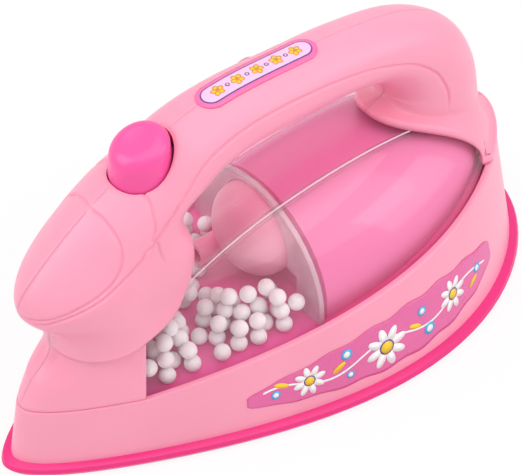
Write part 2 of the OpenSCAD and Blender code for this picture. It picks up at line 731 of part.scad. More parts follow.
// Foam balls: loose heaps on the deck, each spread by the golden angle and piled in layers
golden = 180 * (3 - sqrt(5));
ball_gap = 0.1;
ball_step = ball_d + ball_gap;
heap_spread_share = 0.6;
heap_shares = [[-0.2, -0.5], [-0.48, -0.38], [-0.19, 0.5], [-0.34, 0.04]];
heap_counts = [[34, 22, 8], [22, 10, 3], [24, 12], [12, 2]];
function ball_at(h, layer, k) = let (x0 = half_l * heap_shares[h][0], y0 = dome_w(x0) * heap_shares[h][1],
  r = ball_step * heap_spread_share * sqrt(k + 1 / 2), a = golden * (k + h + 2 * layer),
  x = x0 + r * cos(a))
  [x, y0 + r * sin(a), edge_z(x) - deck_drop + ball_step / 2 / cos(tilt) + layer * ball_step];
ball_room = ball_d / 2 + dome_t + fit;
nozzle_z = blower_z - nozzle_drop;
function ball_fits(p) = let (reach = ball_d / 2 + fit, y = abs(p[1]))
  p[0] > dome_front + ball_room && p[0] < partition_x - reach && y + ball_room < dome_w(p[0])
  && dome_z(p[0], y + ball_room) - ball_room > p[2]
  && (p[0] < partition_x - blower_nose - reach || norm([p[1], p[2] - blower_z]) > blower_r + reach)
  && (p[0] < partition_x - blower_nose - nozzle_l / 2 - reach
    || norm([p[1] - nozzle_y, p[2] - nozzle_z]) > nozzle_d / 2 + reach);
heap = [for (h = [0:len(heap_shares) - 1], layer = [0:len(heap_counts[h]) - 1],
  k = [0:heap_counts[h][layer] - 1]) let (p = ball_at(h, layer, k)) if (ball_fits(p)) p];
balls = [for (i = [0:len(heap) - 1])
  if (min([2 * ball_d, for (j = [0:1:i - 1]) norm(heap[i] - heap[j])]) > ball_d) heap[i]];
module foam_balls() {
  color([0.97, 0.93, 0.94]) for (p = balls) translate(p) sphere(d = ball_d, $fn = 24);
}

// Leads, each a tube along its route: one from the box's rear up to the motor's rear,
// one from the box's front under the deck and up the pillar into the head
wire_d = 1.4;
wire_sides = 8;
wire_sub = 3;
wire_gap = 0.3;
lead_y = 4;
lead_reach = 6;
lead_out = wire_gap + 2 * wire_d;
motor_end = partition_x + can_z + motor_l + wire_gap;
lead_far = max(box_end, motor_end) + lead_reach;
motor_lead_shares = [[1, 0.45], [0.75, 0.83], [0.25, 0.96], [0, 0.96]];
motor_route = concat([for (x = [wire_gap, lead_out]) [box_end + x, lead_y, cell_z]],
  [for (s = motor_lead_shares)
    [motor_end + (lead_far - motor_end) * s[0], lead_y, cell_z + (blower_z - cell_z) * s[1]]]);
under_lead_shares = [[0.35, 0.09], [0.92, 0.11]];
pillar_lead_shares = [[-0.663, 0.222], [-0.651, 0.4], [-0.594, 0.511], [-0.526, 0.667]];
lead_x = half_l * pillar_lead_shares[0][0];
switch_route = concat([for (x = [wire_gap, lead_out]) [box_x - x, -cell_y, cell_z]],
  [for (s = under_lead_shares) [box_x + (lead_x - box_x) * s[0], -lead_y, handle_h * s[1]]],
  [for (s = pillar_lead_shares) [half_l * s[0], -lead_y, handle_h * s[1]]]);
function routed(route) = [for (i = [0:(len(route) - 1) * wire_sub]) curve_at(route, i / wire_sub)];
module wire_motor() {
  color([0.8, 0.1, 0.1]) skin(tube(routed(motor_route), wire_d / 2, wire_sides, [0, 1, 0]));
}

module wire_switch() {
  color([0.1, 0.1, 0.1]) skin(tube(routed(switch_route), wire_d / 2, wire_sides, [0, 1, 0]));
}

soleplate();
base_skirt();
deck_tray();
handle_left();
handle_right();
clear_dome();
clear_partition();
inner_cover();
blower_housing();
impeller();
motor_shaft();
motor();
motor_bracket();
foam_balls();
button();
switch_plunger();
switch();
battery_box();
batteries();
contact_springs();
contact_plates();
battery_door();
door_screw();
wire_motor();
wire_switch();
sole_screws();
handle_screws();
handle_badge();
side_sticker_left();
side_sticker_right();
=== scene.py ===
import bpy
import bmesh
import math
from mathutils import Matrix, Vector, kdtree


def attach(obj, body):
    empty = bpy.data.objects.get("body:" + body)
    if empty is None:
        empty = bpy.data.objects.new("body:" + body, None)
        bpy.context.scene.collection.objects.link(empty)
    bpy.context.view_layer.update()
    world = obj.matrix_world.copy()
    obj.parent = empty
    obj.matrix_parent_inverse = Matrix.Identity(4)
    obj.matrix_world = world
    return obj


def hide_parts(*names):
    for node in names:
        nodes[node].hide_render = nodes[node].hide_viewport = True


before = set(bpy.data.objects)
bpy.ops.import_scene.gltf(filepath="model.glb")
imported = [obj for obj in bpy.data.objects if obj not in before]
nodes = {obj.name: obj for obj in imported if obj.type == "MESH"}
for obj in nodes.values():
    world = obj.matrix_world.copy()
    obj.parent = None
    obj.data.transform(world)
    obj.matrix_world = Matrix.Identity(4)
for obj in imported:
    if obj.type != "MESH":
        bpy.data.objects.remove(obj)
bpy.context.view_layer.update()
mm = 0.001
print("frame loaded:", len(nodes), "nodes")

# camera at the photograph's viewing angle; shifts in pixels of a 522 wide frame
view = {"turn": -37.9, "rise": 43.6, "away": 0.367, "aim": (0, 0, 0.045), "lens": 96.55,
        "shiftRight": 12.8, "shiftUp": 39.8, "frameWide": 522, "near": 0.01}


def addCamera():
    camData = bpy.data.cameras.new("photoCamera")
    cam = bpy.data.objects.new("photoCamera", camData)
    bpy.context.scene.collection.objects.link(cam)
    turn, rise = math.radians(view["turn"]), math.radians(view["rise"])
    back = Vector((math.sin(turn) * math.cos(rise), -math.cos(turn) * math.cos(rise), math.sin(rise)))
    cam.location = Vector(view["aim"]) + back * view["away"]
    cam.rotation_euler = (-back).to_track_quat("-Z", "Y").to_euler()
    camData.lens = view["lens"]
    camData.shift_x = -view["shiftRight"] / view["frameWide"]
    camData.shift_y = -view["shiftUp"] / view["frameWide"]
    camData.clip_start = view["near"]
    bpy.context.scene.camera = cam


addCamera()
print("camera set")


# materials
def srgb(r, g, b):
    def line(c):
        c /= 255
        return c / 12.92 if c <= 0.04045 else ((c + 0.055) / 1.055) ** 2.4
    return (line(r), line(g), line(b), 1)


def tint(colour, share):
    return tuple(min(1, c * share) for c in colour[:3]) + (1,)


def shaderOf(name):
    mat = bpy.data.materials.new(name)
    mat.use_nodes = True
    return mat, mat.node_tree, mat.node_tree.nodes["Principled BSDF"]


def addNoise(tree, scale, detail=3, rough=0.5):
    where = tree.nodes.new("ShaderNodeTexCoord")
    noise = tree.nodes.new("ShaderNodeTexNoise")
    noise.inputs["Scale"].default_value = scale
    noise.inputs["Detail"].default_value = detail
    noise.inputs["Roughness"].default_value = rough
    tree.links.new(where.outputs["Object"], noise.inputs["Vector"])
    return noise.outputs["Fac"]


def addRamp(tree, fac, low, high, start=0.35, end=0.65):
    ramp = tree.nodes.new("ShaderNodeValToRGB")
    ramp.color_ramp.elements[0].position = start
    ramp.color_ramp.elements[0].color = low
    ramp.color_ramp.elements[1].position = end
    ramp.color_ramp.elements[1].color = high
    tree.links.new(fac, ramp.inputs["Fac"])
    return ramp.outputs["Color"]


def addRange(tree, fac, low, high, start=0.3, end=0.7):
    node = tree.nodes.new("ShaderNodeMapRange")
    node.inputs["From Min"].default_value = start
    node.inputs["From Max"].default_value = end
    node.inputs["To Min"].default_value = low
    node.inputs["To Max"].default_value = high
    tree.links.new(fac, node.inputs["Value"])
    return node.outputs["Result"]


def addBump(tree, shader, fac, strength, distance):
    bump = tree.nodes.new("ShaderNodeBump")
    bump.inputs["Strength"].default_value = strength
    bump.inputs["Distance"].default_value = distance
    tree.links.new(fac, bump.inputs["Height"])
    tree.links.new(bump.outputs["Normal"], shader.inputs["Normal"])


plasticLook = {"drift": 28, "polish": 160, "grain": 1800, "grainDeep": 0.0002, "rougher": 0.02, "smoother": 0.015,
               "spread": 0.025, "ior": 1.49, "glowRadius": (1.0, 0.35, 0.5), "glowDeep": 0.002}
metalLook = {"brush": 900, "dark": 0.85, "light": 1.05, "rougher": 0.1, "smoother": 0.08,
             "bump": 0.08, "bumpDeep": 0.0001}
foamLook = {"cells": 1400, "drift": 120, "dark": 0.97, "light": 1.02, "rough": (0.7, 0.85),
            "bump": 0.25, "bumpDeep": 0.0003}
clearLook = {"haze": 60, "dark": 0.98, "hazeRough": (0.3, 0.4), "hazeFrom": 0.5,
             "coat": (0.025, 0.25), "coatFrom": 0.55, "coatRough": (0.03, 0.07)}


def plastic(name, colour, rough=0.32, bump=0.05, glow=0.0):
    # moulded plastic: slow colour drift, uneven polish and a fine moulded grain
    look = plasticLook
    mat, tree, shader = shaderOf(name)
    pale, deep = tint(colour, 1 + look["spread"]), tint(colour, 1 - look["spread"])
    tree.links.new(addRamp(tree, addNoise(tree, look["drift"], detail=2), deep, pale), shader.inputs["Base Color"])
    sleek, dull = rough - look["smoother"], rough + look["rougher"]
    tree.links.new(addRange(tree, addNoise(tree, look["polish"], detail=4), sleek, dull), shader.inputs["Roughness"])
    addBump(tree, shader, addNoise(tree, look["grain"], detail=2), bump, look["grainDeep"])
    shader.inputs["IOR"].default_value = look["ior"]
    if glow:
        shader.inputs["Subsurface Weight"].default_value = glow
        shader.inputs["Subsurface Radius"].default_value = look["glowRadius"]
        shader.inputs["Subsurface Scale"].default_value = look["glowDeep"]
    return mat


def metal(name, colour, rough=0.3):
    look = metalLook
    mat, tree, shader = shaderOf(name)
    brushed = addNoise(tree, look["brush"], detail=5, rough=0.7)
    dark, light = tint(colour, look["dark"]), tint(colour, look["light"])
    tree.links.new(addRamp(tree, brushed, dark, light), shader.inputs["Base Color"])
    sleek, dull = rough - look["smoother"], rough + look["rougher"]
    tree.links.new(addRange(tree, brushed, sleek, dull), shader.inputs["Roughness"])
    addBump(tree, shader, brushed, look["bump"], look["bumpDeep"])
    shader.inputs["Metallic"].default_value = 1
    return mat


def foam(name, colour):
    # expanded beads: soft white, with small dimples
    look = foamLook
    mat, tree, shader = shaderOf(name)
    where = tree.nodes.new("ShaderNodeTexCoord")
    cells = tree.nodes.new("ShaderNodeTexVoronoi")
    cells.inputs["Scale"].default_value = look["cells"]
    tree.links.new(where.outputs["Object"], cells.inputs["Vector"])
    drift = addNoise(tree, look["drift"], detail=2)
    dark, light = tint(colour, look["dark"]), tint(colour, look["light"])
    tree.links.new(addRamp(tree, drift, dark, light), shader.inputs["Base Color"])
    tree.links.new(addRange(tree, drift, *look["rough"]), shader.inputs["Roughness"])
    addBump(tree, shader, cells.outputs["Distance"], look["bump"], look["bumpDeep"])
    return mat


def clearPlastic(name, colour, veil, edge):
    # thin clear wall: a faint haze that thickens towards the edges, under a mirror coat
    look = clearLook
    mat, tree, shader = shaderOf(name)
    haze = addNoise(tree, look["haze"], detail=3)
    tree.links.new(addRamp(tree, haze, tint(colour, look["dark"]), colour), shader.inputs["Base Color"])
    tree.links.new(addRange(tree, haze, *look["hazeRough"]), shader.inputs["Roughness"])
    through = tree.nodes.new("ShaderNodeBsdfTransparent")
    facing = tree.nodes.new("ShaderNodeLayerWeight").outputs["Facing"]
    hazed = tree.nodes.new("ShaderNodeMixShader")
    tree.links.new(addRange(tree, facing, veil, edge, look["hazeFrom"], 1), hazed.inputs["Fac"])
    tree.links.new(through.outputs["BSDF"], hazed.inputs[1])
    tree.links.new(shader.outputs["BSDF"], hazed.inputs[2])
    mirror = tree.nodes.new("ShaderNodeBsdfGlossy")
    tree.links.new(addRange(tree, haze, *look["coatRough"]), mirror.inputs["Roughness"])
    coated = tree.nodes.new("ShaderNodeMixShader")
    tree.links.new(addRange(tree, facing, *look["coat"], look["coatFrom"], 1), coated.inputs["Fac"])
    tree.links.new(hazed.outputs["Shader"], coated.inputs[1])
    tree.links.new(mirror.outputs["BSDF"], coated.inputs[2])
    tree.links.new(coated.outputs["Shader"], tree.nodes["Material Output"].inputs["Surface"])
    return mat


# ridge: near-white of the painted highlight along the dome's ridges
colours = {"shell": srgb(250, 157, 184), "sole": srgb(232, 36, 126), "deck": srgb(250, 104, 174),
           "cover": srgb(248, 124, 180), "blower": srgb(255, 164, 192), "button": srgb(252, 84, 162),
           "ball": srgb(255, 252, 252), "clear": srgb(255, 170, 204), "ridge": srgb(255, 238, 245),
           "panel": srgb(255, 226, 237)}
shellPink = plastic("shellPink", colours["shell"], rough=0.34, glow=0.12)
solePink = plastic("solePink", colours["sole"], rough=0.3)
deckPink = plastic("deckPink", colours["deck"], rough=0.3)
coverPink = plastic("coverPink", colours["cover"], rough=0.42)
blowerPink = plastic("blowerPink", colours["blower"], rough=0.36)
buttonPink = plastic("buttonPink", colours["button"], rough=0.26)
foamWhite = foam("foamWhite", colours["ball"])
clearWall = clearPlastic("clearWall", colours["clear"], veil=0.05, edge=0.3)
# painted highlight: dense near-white haze on the dome's ridge faces
ridgePaintedHighlight = clearPlastic("ridgePaintedHighlight", colours["ridge"], veil=0.75, edge=0.95)
clearPanel = clearPlastic("clearPanel", colours["panel"], veil=0.3, edge=0.5)
# painted highlight: denser whitish haze on the partition's edge faces
clearRimPaintedHighlight = clearPlastic("clearRimPaintedHighlight", colours["panel"], veil=0.5, edge=0.8)
darkPlastic = plastic("darkPlastic", srgb(40, 40, 44), rough=0.45)
fanWhite = plastic("fanWhite", srgb(240, 240, 242), rough=0.4)
brightSteel = metal("brightSteel", srgb(205, 205, 210))
motorCan = metal("motorCan", srgb(190, 192, 196), rough=0.36)
cellSleeve = plastic("cellSleeve", srgb(60, 140, 80), rough=0.3)
leadRed = plastic("leadRed", srgb(200, 30, 30), rough=0.45)
leadDark = plastic("leadDark", srgb(32, 32, 34), rough=0.45)
badgePink = plastic("badgePink", srgb(252, 110, 172), rough=0.25, bump=0.02)
badgePale = plastic("badgePale", srgb(244, 196, 232), rough=0.25, bump=0.02)
filmPink = plastic("filmPink", srgb(226, 100, 160), rough=0.28, bump=0.02)
printPurple = plastic("printPurple", srgb(96, 58, 140), rough=0.3, bump=0.02)
printYellow = plastic("printYellow", srgb(252, 206, 40), rough=0.3, bump=0.02)
printOrange = plastic("printOrange", srgb(232, 140, 70), rough=0.3, bump=0.02)
printWhite = plastic("printWhite", srgb(250, 246, 246), rough=0.3, bump=0.02)
printBlue = plastic("printBlue", srgb(70, 178, 234), rough=0.3, bump=0.02)
print("materials made")

# forms of the iron, in millimetres; skirtLean is the skirt's lean inwards per millimetre of height
iron = {"soleLong": 175, "soleWide": 86, "soleThick": 3.2, "soleLip": 3, "skirtHigh": 20, "heelHigh": 42, "wall": 2,
        "domeHigh": 28, "domeThick": 1.6, "deckDrop": 4, "handleHigh": 90, "headWide": 34, "handleWide": 20,
        "fit": 0.3, "skirtLean": 0.23}
# places and reaches along the iron, as shares of its half length
shares = {"window": -0.62, "crown": -0.07, "domeFront": 0.64, "domeEnd": 0.8}
halfLong = iron["soleLong"] / 2
# outline of the sole from the nose to the heel
eggPowers = {"nose": 0.55, "heel": 0.576, "lean": 0.753, "pinch": 0.847}
eggSteps = 200


def egg(t):
    s = t - 0.5
    bend = math.exp(eggPowers["lean"] * s - eggPowers["pinch"] * s * s)
    return t ** eggPowers["nose"] * (1 - t) ** eggPowers["heel"] * bend


eggTop = max(egg(i / eggSteps) for i in range(eggSteps + 1))


def halfWide(x, inset):
    h = halfLong - inset
    t = min(1, max(0, (x + h) / (2 * h)))
    return (iron["soleWide"] / 2 - inset) * egg(t) / eggTop


def outlineAt(angle, inset):
    x = -(halfLong - inset) * math.cos(angle)
    return x, (-1 if angle < math.pi else 1) * halfWide(x, inset)


windowX = halfLong * shares["window"]
edgeSlope = (iron["heelHigh"] - iron["skirtHigh"]) / (halfLong - windowX)
edgeLean = iron["skirtLean"] * edgeSlope


def edgeZ(x):
    # height of the skirt's top line
    return iron["skirtHigh"] + edgeSlope * max(0, x - windowX)


def skinInset(z):
    return iron["soleLip"] + iron["skirtLean"] * (z - iron["soleThick"])


def topReach(off):
    return halfLong - skinInset(iron["skirtHigh"]) - off + edgeLean * windowX


def skirtAt(angle, f, off):
    # angle round from the nose, share of the height, depth into the wall
    topX = -math.cos(angle) * topReach(off) / (1 - math.cos(angle) * edgeLean)
    z = iron["soleThick"] + f * (edgeZ(topX) - iron["soleThick"])
    x, y = outlineAt(angle, skinInset(z) + off)
    return Vector((x, y, z))


crownX, frontReach, domeEnd = (halfLong * shares[spot] for spot in ("crown", "domeFront", "domeEnd"))


def domeWide(x):
    return halfWide(x, skinInset(edgeZ(x)) + iron["wall"] + iron["fit"])


def domeRise(x):
    reach = frontReach if x < crownX else domeEnd - crownX
    return iron["domeHigh"] * math.sqrt(max(0, 1 - ((x - crownX) / reach) ** 2))


def seatZ(x, y):
    # height at which a part rests on the dome, or on the skirt behind it
    rise = 0 if x > domeEnd else domeRise(x) * math.sqrt(max(0, 1 - (y / domeWide(x)) ** 2))
    return edgeZ(x) + rise + iron["fit"]


def smoothStep(t):
    t = min(1, max(0, t))
    return t * t * (3 - 2 * t)


# mesh helpers
joinNear = {"node": 0.000005, "turned": 0.00001, "print": 0.000001}  # metres
tubeSides = 32


def finish(bm, name, body, mats, replaces=(), sharp=50, merge=0.00002, recalc=True):
    if merge:
        bmesh.ops.remove_doubles(bm, verts=bm.verts, dist=merge)
    if recalc:
        bmesh.ops.recalc_face_normals(bm, faces=bm.faces)
    limit = math.radians(sharp)
    for face in bm.faces:
        face.smooth = True
    for edge in bm.edges:
        edge.smooth = len(edge.link_faces) != 2 or edge.calc_face_angle(0) < limit
    mesh = bpy.data.meshes.new(name)
    bm.to_mesh(mesh)
    bm.free()
    for mat in mats:
        mesh.materials.append(mat)
    piece = bpy.data.objects.new(name, mesh)
    bpy.context.scene.collection.objects.link(piece)
    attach(piece, body)
    if replaces:
        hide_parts(*replaces)
    return piece


def addSheet(bm, cols, rows, place, mat=0):
    # grid laid out by place(u, v), u and v from 0 to 1, in millimetres
    verts = bmesh.ops.create_grid(bm, x_segments=cols, y_segments=rows, size=0.5)["verts"]
    for vert in verts:
        vert.co = Vector(place(vert.co.x + 0.5, vert.co.y + 0.5)) * mm
    for face in {f for v in verts for f in v.link_faces}:
        face.material_index = mat


def sheetOf(cols, rows, place):
    bm = bmesh.new()
    addSheet(bm, cols, rows, place)
    return bm


def thicken(piece, thick):
    mod = piece.modifiers.new("wall", "SOLIDIFY")
    mod.thickness = thick * mm
    mod.offset = -1
    return mod


def joinedCopy(node):
    # the node's own shape, its loose triangles joined so that it shades smoothly
    bm = bmesh.new()
    bm.from_mesh(nodes[node].data)
    bmesh.ops.remove_doubles(bm, verts=bm.verts, dist=joinNear["node"])
    return bm


def joinInto(bm, other):
    # moves another bmesh's faces into this one
    spare = bpy.data.meshes.new("spare")
    other.to_mesh(spare)
    other.free()
    bm.from_mesh(spare)
    bpy.data.meshes.remove(spare)


def cutLevel(bm, level, up, keepAbove):
    # cuts along a sloping level, keeps one side of it and closes the cut
    cut = bmesh.ops.bisect_plane(bm, geom=bm.verts[:] + bm.edges[:] + bm.faces[:], plane_co=up * level * mm,
                                 plane_no=up, clear_inner=keepAbove, clear_outer=not keepAbove)
    bmesh.ops.edgeloop_fill(bm, edges=[e for e in cut["geom_cut"] if isinstance(e, bmesh.types.BMEdge)])


def mirrored(bm):
    bmesh.ops.scale(bm, vec=(1, -1, 1), verts=bm.verts)
    bmesh.ops.reverse_faces(bm, faces=bm.faces)


# skirt with a rounded top edge; its profile gives share of the height and depth into the wall
skirt = {"around": 320, "rows": 12, "straight": 0.965, "round": 0.6,
         "edge": [(0.982, 0.03), (0.992, 0.13), (0.998, 0.32)], "inside": [(0.997, 0.2), (0.985, 0)]}


def buildSkirt():
    rim, wall, steps = skirt["round"], iron["wall"], skirt["rows"]
    profile = [(skirt["straight"] * i / steps, 0) for i in range(steps + 1)]
    profile += skirt["edge"] + [(1, rim), (1, wall - rim)]
    profile += [(share, wall - short) for share, short in skirt["inside"]]
    profile += [(0.5, wall), (0, wall), (0, 0)]  # down the inside and closed under the foot

    def place(u, v):
        f, off = profile[round(v * (len(profile) - 1))]
        return skirtAt(2 * math.pi * u, f, off)
    bm = sheetOf(skirt["around"], len(profile) - 1, place)
    finish(bm, "skirt", "main_body", [shellPink], ["base_skirt"], sharp=40)


buildSkirt()
print("skirt made")

# clear dome with a raised ridge along each shoulder, whose faces carry a near-white haze as a painted highlight;
# ridge is its section, in half widths and shares of its height
dome = {"along": 90, "sideCols": 22, "crownCols": 8, "ridgeY": 10.6, "ridgeHalf": 0.2, "ridgeHigh": 0.22,
        "ridgeGap": 1.7, "ridgeOver": 1.05, "ridgeMost": 0.97, "ridgeLow": 2,
        "ridge": [(-1.6, 0), (-1, 0), (-0.55, 0.7), (0, 1), (0.55, 0.7), (1, 0), (1.6, 0)]}


def buildDome():
    front, back = windowX + iron["fit"], domeEnd - iron["wall"]
    cols = [("low", 0, 0)] + [("side", i / dome["sideCols"], 0) for i in range(dome["sideCols"])]
    cols += [("ridge", s, lift) for s, lift in dome["ridge"]]
    cols += [("crown", (i + 1) / dome["crownCols"], 0) for i in range(dome["crownCols"])]
    count = len(cols) * 2 - 1

    def place(u, v):
        x = front + (back - front) * (1 - math.cos(math.pi * u)) / 2
        j = round(v * (count - 1))
        side = 1 if j < len(cols) else -1
        kind, s, lift = cols[min(j, count - 1 - j)]
        wide, half = domeWide(x), dome["ridgeHalf"]
        ridgeAngle = math.acos(min(dome["ridgeMost"], dome["ridgeY"] / wide))
        gap = dome["ridgeGap"] * half / wide
        if kind == "low":
            return x, side * wide, edgeZ(x) - iron["deckDrop"]
        if kind == "side":
            angle = (ridgeAngle - gap) * s
        elif kind == "ridge":
            angle = ridgeAngle + s * half / wide
        else:
            angle = ridgeAngle + gap + (math.pi / 2 - ridgeAngle - gap) * s
        out = lift * dome["ridgeHigh"]
        return x, side * (wide + out) * math.cos(angle), edgeZ(x) + (domeRise(x) + out) * math.sin(angle)
    bm = sheetOf(dome["along"], count - 1, place)
    # faces along each ridge, above the dome's foot, take the painted highlight
    for face in bm.faces:
        mid = face.calc_center_median() / mm
        beside = abs(abs(mid.y) - dome["ridgeY"])
        if beside < dome["ridgeHalf"] * dome["ridgeOver"] and mid.z > edgeZ(mid.x) + dome["ridgeLow"]:
            face.material_index = 1
    piece = finish(bm, "dome", "main_body", [clearWall, ridgePaintedHighlight], ["clear_dome"], sharp=60)
    thicken(piece, iron["domeThick"]).material_offset = -1  # the painted ridge highlight shows on the outer wall only


buildDome()
print("dome made")

# handle: stations from the head's lower edge over the arch to the column's foot
# each: outer x and z, inner x and z, width share, outer power, inner power, droop of the sides
arch = {"cols": 64, "rows": 250, "footRows": 28, "fineRows": 600, "fineCols": 240, "finer": (1.9, 1.1),
        "stations": [
            (-0.794, 0.403, -0.42, 0.522, 0.92, 1.1, 0.5, 0.035), (-0.794, 0.48, -0.39, 0.56, 0.9, 1.1, 0.45, 0.015),
            (-0.86, 0.548, -0.372, 0.611, 0.96, 1.15, 0.45, 0), (-0.855, 0.62, -0.375, 0.67, 0.95, 1.25, 0.45, 0),
            (-0.754, 0.718, -0.391, 0.726, 0.72, 1.35, 0.5, 0), (-0.629, 0.808, -0.371, 0.769, 0.52, 1.35, 0.6, 0),
            (-0.503, 0.878, -0.297, 0.794, 0.38, 1.2, 0.75, 0), (-0.343, 0.955, -0.217, 0.811, 0.22, 1.02, 0.9, 0),
            (-0.171, 0.994, -0.114, 0.817, 0.07, 0.95, 0.9, 0), (0.057, 1, 0.057, 0.819, 0, 0.95, 0.9, 0),
            (0.263, 0.994, 0.229, 0.814, 0, 0.95, 0.9, 0), (0.48, 0.961, 0.343, 0.789, 0.02, 0.95, 0.9, 0),
            (0.651, 0.867, 0.406, 0.739, 0.1, 0.95, 0.9, 0), (0.746, 0.728, 0.423, 0.7, 0.18, 0.95, 0.9, 0),
            (0.79, 0.56, 0.42, 0.692, 0.24, 0.95, 0.9, 0)]}
archLast = len(arch["stations"]) - 1


def blend(a, b, c, d, t):
    return b + t / 2 * (c - a) + t * t * (a - 2.5 * b + 2 * c - d / 2) + t ** 3 / 2 * (3 * b - 3 * c + d - a)


def curveAt(points, u):
    # smooth curve through the points, at place u
    end = len(points) - 1
    i = max(0, min(end - 1, math.floor(u)))
    rows = points[max(0, i - 1)], points[i], points[i + 1], points[min(end, i + 2)]
    return [blend(*values, u - i) for values in zip(*rows)]


def bow(v, power):
    return math.copysign(abs(v) ** power, v)


def halfHandle(share):
    return iron["handleWide"] / 2 + (iron["headWide"] - iron["handleWide"]) / 2 * share


def archPoint(station, angle):
    # left side of the skin, from the outer line at angle 0 to the inner line
    s = curveAt(arch["stations"], station)
    outer = Vector((s[0] * halfLong, s[1] * iron["handleHigh"]))
    inner = Vector((s[2] * halfLong, s[3] * iron["handleHigh"]))
    power = s[6] if angle > math.pi / 2 else s[5]
    p = (outer + inner) / 2 + (outer - inner) / 2 * bow(math.cos(angle), power)
    y = halfHandle(s[4]) * bow(math.sin(angle), power)
    return Vector((p.x, -y, max(p.y - s[7] * iron["handleHigh"] * math.sin(angle), seatZ(p.x, y))))


# foot of the column; turned is the share of the last stretch that rounds the lip's edge
foot = {"atShare": 0.7, "tipShare": 0.352, "lip": 2, "over": 0.2, "lipPower": 0.4, "flare": 2.8,
        "round": 1.1, "turned": 0.7, "turnRows": 6}
footX, tipX = halfLong * foot["atShare"], halfLong * foot["tipShare"]
footAngle = math.acos(footX / (edgeLean * footX - topReach(-foot["over"])))
footY = -skirtAt(footAngle, 1, -foot["over"]).y


def footAt(angle, off):
    share = angle / math.pi
    if share <= 0.5:
        p = skirtAt(math.pi + (footAngle - math.pi) * share * 2, 1, off - foot["over"])
        return p.x, p.y
    v = share * 2 - 1
    return footX + (tipX + off - footX) * v, -(footY - off) * max(0, 1 - v) ** foot["lipPower"]


def footPoint(g, angle):
    # flare down to the lip, round over its edge, then down to the seat
    lip, rim = foot["lip"], foot["round"]
    if g <= 1:
        a = archPoint(archLast, angle)
        bx, by = footAt(angle, rim)
        f = g ** foot["flare"]
        x, y = a.x + (bx - a.x) * f, a.y + (by - a.y) * f
        z = a.z + (seatZ(bx, by) + lip - a.z) * g
        return Vector((x, y, max(z, seatZ(x, y) + lip)))
    turn = min(1, (g - 1) / foot["turned"]) * math.pi / 2
    x, y = footAt(angle, rim * (1 - math.sin(turn)))
    past = g - 1 - foot["turned"]
    drop = rim * (1 - math.cos(turn)) if past < 0 else rim + (lip - rim) * past / (1 - foot["turned"])
    return Vector((x, y, seatZ(x, y) + lip - drop))


def handlePoint(station, angle):
    return archPoint(station, angle) if station <= archLast else footPoint(station - archLast, angle)


def skinPoint(station, turn):
    # same skin, with turns that step evenly past the widest line
    s = curveAt(arch["stations"], min(station, archLast))
    power = s[6] if turn > math.pi / 2 else s[5]
    return handlePoint(station, math.acos(max(-1, min(1, bow(math.cos(turn), 1 / power)))))


# moulded creases: station and angle along each line, then half width and depth in millimetres
creases = {
    "nose": ([(5.12, 0), (5.08, 12), (5.04, 24), (4.9, 37.2), (4.69, 49.6), (4.44, 58.6), (4.18, 64), (3.86, 66.9),
              (3.56, 64.9), (3.25, 57.6), (2.98, 48), (2.77, 40), (2.57, 30.8), (2.42, 16), (2.36, 0)], 0.6, 0.5),
    "side": ([(2.2, 14), (2.31, 27), (2.63, 41.3), (2.9, 52.2), (3.17, 62.4), (3.55, 72.2), (4.01, 85.4),
              (4.31, 90.3), (4.57, 91.3), (5.06, 92.5), (5.67, 90.1), (6.4, 77.1), (6.79, 72.4), (7.3, 70.4),
              (7.9, 70.9), (8.5, 71.6), (9.08, 74.1), (9.56, 77.9), (10.07, 83.2), (10.67, 91.6), (11.23, 94.4),
              (11.72, 96.1), (12.28, 96.7), (12.88, 96.2), (13.39, 96.4), (14.06, 98.2)], 0.6, 0.5),
    "saddle": ([(5.95, 30), (5.84, 39.3), (5.67, 51.5), (5.37, 64.9), (4.89, 83.9), (4.46, 92), (3.95, 96.1),
                (3.44, 98.9)], 0.55, 0.42)}
# steps between two points, share of the depth at a line's ends, steepness of its sides
creaseForm = {"steps": 60, "ends": 0.1, "fall": 2.2}
probe = {"station": 0.02, "turn": 0.03}  # steps to either side for the skin's slopes
seam = {"near": 0.02, "gap": 0.01}  # the halves' edges stand just off the middle plane
button = {"station": 6.35, "slope": 27, "radius": 7.8, "high": 5, "sides": 96, "draft": 5, "lean": 16,
          "round": 3.3, "roundSteps": 12, "dish": 0.35, "dishAt": [(0.93, 0.06), (0.75, 0.5), (0.4, 0.9), (0, 1)],
          "seat": 5.4, "flange": 1, "flangeThick": 1.5, "bossBack": -4, "bossWide": 4, "bossLow": -11.55,
          "collar": 2.2, "holeLow": -9, "dip": 0.35, "dipWide": 1.2}
screws = {"at": [(2.5, 0.45), (8.6, 0.5), (11.6, 0.5)], "recess": 2.8, "seat": 4, "bossLong": 5}


def screwMatrix(station, share):
    # the screws lie across the handle, their heads on the right side
    outer, inner = archPoint(station, 0), archPoint(station, math.pi)
    at = outer + (inner - outer) * share
    return Matrix.Translation(Vector((at.x, 0, at.z)) * mm) @ Matrix.Rotation(math.pi / 2, 4, "X")


buttonAt = archPoint(button["station"], 0) * mm
# holes: place and direction, radius, and how far down they reach
buttonHole = (Matrix.Translation(buttonAt), (button["radius"] + iron["fit"]) * mm, button["holeLow"] * mm)
screwHoles = [(screwMatrix(*at), screws["recess"] * mm, 0) for at in screws["at"]]


def holeGap(co, hole):
    # distance from the rim of a hole, less than nothing inside it
    matrix, radius, low = hole
    p = matrix.inverted() @ co
    return math.hypot(p.x, p.y) - radius if p.z > low else 1


def openHole(bm, hole):
    matrix, radius = hole[:2]
    inside = {f for f in bm.faces if holeGap(f.calc_center_median(), hole) < 0}
    rim = {v for f in inside for v in f.verts if any(g not in inside for g in v.link_faces)}
    bmesh.ops.delete(bm, geom=list(inside), context="FACES")
    for vert in rim:
        p = matrix.inverted() @ vert.co
        far = math.hypot(p.x, p.y)
        vert.co = matrix @ Vector((p.x * radius / far, p.y * radius / far, p.z))
    return rim


def runOf(points):
    # length of a line of points up to each of them
    run = [0]
    for a, b in zip(points, points[1:]):
        run.append(run[-1] + (b - a).length)
    return run


